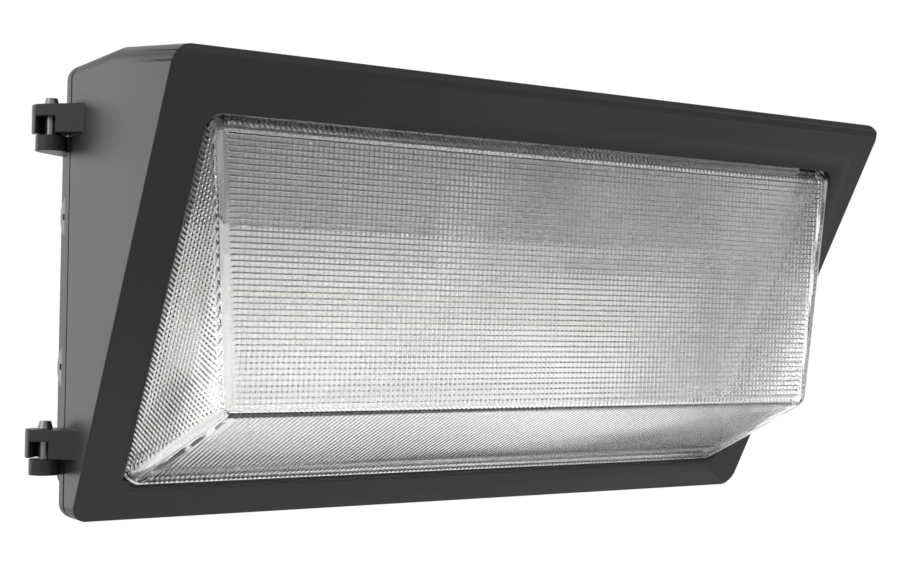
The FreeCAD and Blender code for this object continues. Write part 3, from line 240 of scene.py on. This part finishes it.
# ---- housing gasket ----
# A black silicone cord, pressed into the groove round the housing's rim. The door squeezes it.
seal_rubber = finish_material("black_seal_rubber", (0.02, 0.02, 0.021), 0.65, specular=0.3)
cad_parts["housing_gasket"].data.materials.clear()
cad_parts["housing_gasket"].data.materials.append(seal_rubber)

# ---- side entry plugs ----
# Cast and coated screw plugs that close the conduit entries in the two sides. Each has a slot
# for a coin or a screwdriver.
plug_coat = finish_material("plug_powder_coat", (0.036, 0.0365, 0.037), 0.36, specular=0.45)
dress("side_entry_plugs", "entry_plugs", "housing", "plug_coat", plug_coat, ease=0.0003)

# ---- terminal block and ground screw ----
# A moulded block on the back wall takes the supply leads under brass clamp screws. A green
# hexagon screw in the wall below the block takes the earth lead.
terminal_plastic = finish_material("cream_terminal_plastic", (0.62, 0.6, 0.53), 0.45)
dress("terminal_block", "terminal_housing", "housing", "terminal_plastic", terminal_plastic, ease=0.0002)
brass = finish_material("brass", (0.72, 0.52, 0.22), 0.3, metallic=1, grain=0.0003, relief=0.000004)
dress("terminal_screws", "clamp_screws", "housing", "brass_screw", brass, ease=0.00015)
green_zinc = finish_material("green_passivated_zinc", (0.05, 0.3, 0.09), 0.35, metallic=0.5)
dress("ground_screw", "earth_screw", "housing", "brass_screw", green_zinc, ease=0.0001, shortest=0.0002)

# ---- led driver and surge protector ----
# The driver is a potted supply in a folded aluminium case. The surge protector beside it is
# a block of black moulded plastic. Both are screwed to the back wall under the gear cover.
case_metal = finish_material("driver_case_aluminium", (0.6, 0.61, 0.62), 0.38, metallic=0.9, grain=0.0004)
dress("led_driver", "driver_case", "housing", "driver_case", case_metal, ease=0.0005)
surge_plastic = finish_material("black_surge_plastic", (0.025, 0.025, 0.028), 0.3)
dress("surge_protector", "surge_case", "housing", "surge_case", surge_plastic, ease=0.0005)

# ---- reflector plate and gear cover ----
# Two flat aluminium sheets on the housing's posts. The lower one is coated high white and carries
# the light boards, and the upper one, in grey, covers the driver and the wiring.
reflector_white = finish_material("white_reflector_coat", (0.86, 0.86, 0.85), 0.4, unevenness=0.015)
dress("reflector_plate", "white_reflector", "housing", "reflector_white", reflector_white, ease=0.0003)
cover_grey = finish_material("grey_cover_coat", (0.28, 0.28, 0.285), 0.42, unevenness=0.03)
dress("gear_cover", "grey_gear_cover", "housing", "cover_grey", cover_grey, ease=0.0003)

# ---- light boards ----
# Aluminium-backed circuit boards under white solder mask, two in all. Each is held by three small
# screws below its row of chips and fed through a push-in connector at its left end.
solder_mask = finish_material("white_solder_mask", (0.72, 0.725, 0.72), 0.35, unevenness=0.02)
for height in ("upper", "lower"):
    dress(f"light_board_{height}", f"white_board_{height}", "housing", "board_white", solder_mask,
          ease=0.0002)

BOARD_SCREW_RADIUS = 0.0024
BOARD_SCREW_HEIGHT = 0.0016
BOARD_SCREW_CROWN = BOARD_SCREW_RADIUS * 0.75
BOARD_SCREW_RIM = BOARD_SCREW_RADIUS * 0.35
BOARD_SCREW_SOCKET = BOARD_SCREW_HEIGHT / 2
ALONG_BOARD = (0.1, 0.5, 0.9)
UP_BOARD = 0.25
NEAR_ORIGIN = 0.01
bright_zinc = finish_material("bright_zinc", (0.7, 0.7, 0.71), 0.28, metallic=1, grain=0.0003,
                              relief=0.000004)
for height in ("upper", "lower"):
    low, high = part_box(f"light_board_{height}")
    screws = bmesh.new()
    for share in ALONG_BOARD:
        points = bmesh.ops.create_cone(screws, cap_ends=True, segments=20, radius1=BOARD_SCREW_RADIUS,
                                       radius2=BOARD_SCREW_CROWN, depth=BOARD_SCREW_HEIGHT)["verts"]
        sides = {face for point in points for face in point.link_faces}
        top = max(sides, key=lambda face: face.calc_center_median().z)
        bmesh.ops.inset_region(screws, faces=[top], thickness=BOARD_SCREW_RIM)
        bmesh.ops.translate(screws, verts=top.verts, vec=(0, 0, -BOARD_SCREW_SOCKET))
        head = [point for point in screws.verts if abs(point.co.y) < NEAR_ORIGIN]
        face_front = Matrix.Rotation(math.pi / 2, 3, "X")
        bmesh.ops.rotate(screws, verts=head, cent=(0, 0, 0), matrix=face_front)
        seat = (low[0] + (high[0] - low[0]) * share, low[1] - BOARD_SCREW_HEIGHT / 2,
                low[2] + (high[2] - low[2]) * UP_BOARD)
        bmesh.ops.translate(screws, verts=head, vec=seat)
    show_piece(screws, f"board_screws_{height}", "housing", "steel_fixings", bright_zinc)

CONNECTOR_SIZE = (0.011, 0.0045, 0.009)
CONNECTOR_EASE = 0.0004
CONNECTOR_WALL = 0.0011
CONNECTOR_MOUTH = 0.004
CONNECTOR_INSET = 0.0065
connector_plastic = finish_material("white_connector_plastic", (0.75, 0.75, 0.72), 0.4)
for height in ("upper", "lower"):
    low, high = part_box(f"light_board_{height}")
    connector = bmesh.new()
    bmesh.ops.create_cube(connector, size=1)
    bmesh.ops.scale(connector, vec=CONNECTOR_SIZE, verts=connector.verts)
    bmesh.ops.bevel(connector, geom=connector.edges[:], offset=CONNECTOR_EASE, affect="EDGES", segments=2,
                    profile=0.5, material=-1)
    wire_side = min(connector.faces, key=lambda face: face.calc_center_median().x)
    bmesh.ops.inset_region(connector, faces=[wire_side], thickness=CONNECTOR_WALL)
    bmesh.ops.translate(connector, verts=wire_side.verts, vec=(CONNECTOR_MOUTH, 0, 0))
    seat = (low[0] + CONNECTOR_INSET, low[1] - CONNECTOR_SIZE[1] / 2, high[2] - CONNECTOR_INSET)
    bmesh.ops.translate(connector, verts=connector.verts, vec=seat)
    show_piece(connector, f"board_connector_{height}", "housing", "board_white", connector_plastic)

# ---- light chips ----
# White ceramic packages soldered in a row along each board. The round window of each is filled
# with pale yellow phosphor.
chip_ceramic = finish_material("chip_ceramic", (0.82, 0.82, 0.8), 0.4)
phosphor = finish_material("pale_phosphor", (0.85, 0.78, 0.45), 0.3)
CHIP_WINDOW_MARGIN = 0.0007
CHIP_WINDOW_ROUND = 0.0009
FACES_FRONT = -0.9
MOST_RIM_CORNERS = 8
for height in ("upper", "lower"):
    chips = joined_copy(f"light_chips_{height}")
    windows = [face for face in chips.faces if face.normal.y < FACES_FRONT]
    bmesh.ops.inset_individual(chips, faces=windows, thickness=CHIP_WINDOW_MARGIN)
    corners = [point for face in windows for point in face.verts]
    bmesh.ops.bevel(chips, geom=corners, offset=CHIP_WINDOW_ROUND, affect="VERTICES", segments=3,
                    profile=0.5, material=-1)
    for face in chips.faces:
        if face.normal.y < FACES_FRONT and len(face.verts) > MOST_RIM_CORNERS:
            face.material_index = 1
    packages = show_piece(chips, f"chip_packages_{height}", "housing", "chip_face", chip_ceramic, phosphor)
    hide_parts(f"light_chips_{height}")

# ---- door frame ----
# The second casting: a deep hood whose sloping front is the bezel round the glass. It has the
# housing's dark coat. Its two inner end walls carry painted light: white that stands in for the glow at
# the glass's ends.
# Painted light: a white put on the door's inner end walls to stand in for the glow seen there, not a coat
# the casting has.
painted_glow_white = finish_material("painted_light_inner_white", (0.8, 0.8, 0.79), 0.45, unevenness=0.02)
# The bezel leans by FACE_SLOPE. Its depths are taken square to it, from its lowest front edge.
FACE_SLOPE = math.radians(29.54)
draw_way = Vector((0, -math.cos(FACE_SLOPE), -math.sin(FACE_SLOPE)))
up_slope = Vector((0, -math.sin(FACE_SLOPE), math.cos(FACE_SLOPE)))
foot_edge = Vector((0, -0.05634, -0.12025))
BEZEL_WALL = 0.004
INNER_SIDE = 0.226
GLOW_PAINT_EDGE = 0.0003
FACES_ENDWAYS = 0.7
door_shape = eased_copy("door_frame", ease=0.0005)
# The inner end walls behind the bezel take the painted-light white. The rest of the casting keeps its dark
# coat.
for face in door_shape.faces:
    middle = face.calc_center_median()
    behind_bezel = (middle - foot_edge).dot(draw_way) < -BEZEL_WALL + GLOW_PAINT_EDGE
    if behind_bezel and abs(middle.x) < INNER_SIDE and abs(face.normal.x) > FACES_ENDWAYS:
        face.material_index = 1
door = show_piece(door_shape, "door_casting", "door", "casting_coat", powder_coat, painted_glow_white)
even_shading(door)
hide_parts("door_frame")

# ---- hinge pins ----
# Dark steel shoulder screws with tapered socket heads. Each drops through a bracket of the door
# into a lug of the housing, and the door turns on its shoulder.
dark_steel = finish_material("dark_pin_steel", (0.16, 0.16, 0.165), 0.3, metallic=0.9, grain=0.0004,
                             relief=0.000006)
dress("hinge_pins", "socket_head_pins", "housing", "dark_fixings", dark_steel, ease=0.0002)

# ---- glass refractor ----
# A hollow wedge of pressed borosilicate glass, clipped behind the bezel. Upright flutes run down its
# outside, level prisms cross them inside, and its ends have crossed ribs, which all stop short of the
# round corners.
RIB_PITCH = 0.00282
RIB_MARGIN = 0.0008
# Each profile is one rib's heights against the smooth glass, at even steps.
FLUTE_DEPTH = 0.00045
FLUTE = (-FLUTE_DEPTH, -FLUTE_DEPTH / 2, 0.0, 0.0, 0.0, 0.0, 0.0, -FLUTE_DEPTH / 2)
PRISM_DEPTH = 0.00063
PRISM_LIFT = 0.0000035
FLANK_STEPS = 6
LEVEL_STEPS = 14
PRISM_FLANK = [PRISM_DEPTH / FLANK_STEPS * step - PRISM_DEPTH for step in range(FLANK_STEPS)]
PRISM = PRISM_FLANK + [PRISM_LIFT * step for step in range(LEVEL_STEPS)]
END_RIB = (-0.00055, 0.0, 0.00002, 0.0)
FLUTES_PER_HALF = 65
EDGE_FLUTES = 6
FLUTED_HALF = FLUTES_PER_HALF * RIB_PITCH
FLANGE_SETBACK = 0.006
CLEAR_OF_FLANGE = 0.0002
glass_shape = joined_copy("lens")
rib_mark = glass_shape.faces.layers.int.new("ribbed")


def outside_depth(place):
    """How far a place lies in front of the glass's flange, along the way the mould opens."""
    return (place - foot_edge).dot(draw_way) + FLANGE_SETBACK


def cut_glass(faces, spot, across):
    """Cut faces by a plane that stands across a direction, and give all their parts."""
    geometry = set(faces)
    for face in faces:
        geometry.update(face.edges)
        geometry.update(face.verts)
    cut = bmesh.ops.bisect_plane(glass_shape, geom=list(geometry), dist=SAME_PLACE / 10,
                                 plane_co=across * spot, plane_no=across)
    return [part for part in cut["geom"] if isinstance(part, bmesh.types.BMFace)]


def marked_faces():
    """The faces of the stretch of glass that is being ribbed."""
    return [face for face in glass_shape.faces if face[rib_mark]]


def press_ribs(faces, across, start, pitch, heights):
    """Raise the points of faces into ribs. The heights are those of one rib, at even steps."""
    glass_shape.normal_update()
    ways = {point: point.normal.copy() for face in faces for point in face.verts}
    for point, way in ways.items():
        step = round((point.co.dot(across) - start) / pitch * len(heights))
        point.co += way * heights[step % len(heights)]
    for face in marked_faces():
        face[rib_mark] = 0


def rib_end_wall(face, across):
    """Press one face of an end wall into ribs that lie across a direction."""
    ring = bmesh.ops.inset_region(glass_shape, faces=[face], thickness=RIB_MARGIN,
                                  use_even_offset=True)["faces"]
    face[rib_mark] = 1
    waiting = [face, *ring]
    spots = [point.co.dot(across) for part in waiting for point in part.verts]
    start = min(spots)
    step = RIB_PITCH / len(END_RIB)
    for cut in range(1, math.ceil((max(spots) - start) / step)):
        spot = start + cut * step
        waiting = [part for part in waiting
                   if max(point.co.dot(across) for point in part.verts) > spot + SAME_PLACE]
        waiting = cut_glass(waiting, spot, across)
    press_ribs(marked_faces(), across, start, RIB_PITCH, END_RIB)


END_WALL_TILT = 0.97
END_WALL_REACH = 0.15
for sign in (-1, 1):
    end_walls = [face for face in glass_shape.faces if abs(face.normal.x) > END_WALL_TILT
                 and outside_depth(face.calc_center_median()) > CLEAR_OF_FLANGE
                 and face.calc_center_median().x * sign > END_WALL_REACH]
    outer_and_inner = sorted(end_walls, key=lambda face: -face.calc_area())[:2]
    for face in outer_and_inner:
        rib_end_wall(face, up_slope if face.normal.x * sign > 0 else draw_way)

INNER_FRONT_TILT = 0.99
UPRIGHT_EDGE = 0.1
front_rise = Vector((0, -0.061, 0.998)).normalized()
inner_walls = [face for face in glass_shape.faces if face.normal.y > INNER_FRONT_TILT
               and outside_depth(face.calc_center_median()) > CLEAR_OF_FLANGE]
inner_front = max(inner_walls, key=lambda face: face.calc_area())
ring = bmesh.ops.inset_region(glass_shape, faces=[inner_front], thickness=RIB_MARGIN,
                              use_even_offset=True)["faces"]
rises = [point.co.dot(front_rise) for point in inner_front.verts]
prism_count = round((max(rises) - min(rises)) / RIB_PITCH)
prism_pitch = (max(rises) - min(rises)) / prism_count
side_edges = {edge for part in (inner_front, *ring) for edge in part.edges
              if abs((edge.verts[0].co - edge.verts[1].co).z) > UPRIGHT_EDGE}
inner_front[rib_mark] = 1
bmesh.ops.subdivide_edges(glass_shape, edges=list(side_edges), cuts=prism_count * len(PRISM) - 1)
press_ribs(marked_faces(), front_rise, min(rises), prism_pitch, PRISM)

OPEN_TO_MOULD = 0.1
LEVEL_WALL_TILT = 0.02
LEVEL_WALL_WIDTH = 0.3
for face in glass_shape.faces:
    reach = [point.co.x for point in face.verts]
    outer = outside_depth(face.calc_center_median()) > CLEAR_OF_FLANGE
    outer = outer and face.normal.dot(draw_way) > OPEN_TO_MOULD
    if outer and abs(face.normal.x) < LEVEL_WALL_TILT and max(reach) - min(reach) > LEVEL_WALL_WIDTH:
        face[rib_mark] = 1
END_CORNER_ROOM = 0.0075
end_way = Vector((0.985, -0.151, -0.086)).normalized()
end_wall_foot = Vector((0.2046, -0.06468, -0.09337))
end_margin = end_wall_foot.dot(end_way) - END_CORNER_ROOM
root_margin = foot_edge.dot(draw_way) - FLANGE_SETBACK + RIB_MARGIN
cut_glass(marked_faces(), root_margin, draw_way)
for sign in (-1, 1):
    cut_glass(marked_faces(), end_margin, Vector((end_way.x * sign, end_way.y, end_way.z)))
    waiting = marked_faces()
    for step in range(EDGE_FLUTES * len(FLUTE)):
        spot = FLUTED_HALF + step * RIB_PITCH / len(FLUTE)
        waiting = [part for part in waiting
                   if max(point.co.x * sign for point in part.verts) > spot + SAME_PLACE]
        waiting = cut_glass(waiting, spot, Vector((sign, 0, 0)))
long_edges = {edge for face in marked_faces() for edge in face.edges
              if abs(abs(edge.verts[0].co.x) - FLUTED_HALF) < SAME_PLACE
              and abs(edge.verts[0].co.x + edge.verts[1].co.x) < SAME_PLACE}
bmesh.ops.subdivide_edges(glass_shape, edges=list(long_edges), cuts=2 * FLUTES_PER_HALF * len(FLUTE) - 1)
fluted = []
for face in marked_faces():
    middle = face.calc_center_median()
    middle.x = abs(middle.x)
    if outside_depth(middle) > RIB_MARGIN and middle.dot(end_way) < end_margin:
        fluted.append(face)
press_ribs(fluted, Vector((1, 0, 0)), 0, RIB_PITCH, FLUTE)
RIB_CREASE = math.radians(26)
for face in glass_shape.faces:
    face.smooth = True
for edge in glass_shape.edges:
    edge.smooth = edge.calc_face_angle() < RIB_CREASE

glass = bpy.data.materials.new("clear_glass")
glass.use_nodes = True
nodes = glass.node_tree.nodes
links = glass.node_tree.links
shader = nodes["Principled BSDF"]
shader.inputs["Base Color"].default_value = (1, 1, 1, 1)
shader.inputs["Roughness"].default_value = 0
shader.inputs["IOR"].default_value = 1.5
shader.inputs["Transmission Weight"].default_value = 1
through = nodes.new("ShaderNodeBsdfTransparent")
path = nodes.new("ShaderNodeLightPath")
mix = nodes.new("ShaderNodeMixShader")
links.new(path.outputs["Is Shadow Ray"], mix.inputs["Fac"])
links.new(shader.outputs[0], mix.inputs[1])
links.new(through.outputs[0], mix.inputs[2])
links.new(mix.outputs[0], nodes["Material Output"].inputs["Surface"])
refractor = show_piece(glass_shape, "glass_refractor", "door", "clear_glass", glass)
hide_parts("lens")

# ---- glass gasket and clips ----
# A black silicone gasket lies between the bezel and the glass's flange. Eight zinc-plated steel
# clips, screwed to bosses inside the door, press the glass on it.
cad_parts["lens_gasket"].data.materials.clear()
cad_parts["lens_gasket"].data.materials.append(seal_rubber)
dress("lens_clips", "glass_clips", "door", "steel_fixings", bright_zinc, ease=0.0002)

# ---- captive screws ----
# Two zinc-plated hexagon screws that close the door on the housing's closing lugs. A thin neck behind
# the head lets each slide in the door's lug but not fall out.
for height in ("upper", "lower"):
    dress(f"captive_screw_{height}", f"closing_screw_{height}", f"screw_{height}", "steel_fixings",
          bright_zinc, ease=0.00015, shortest=0.0003)
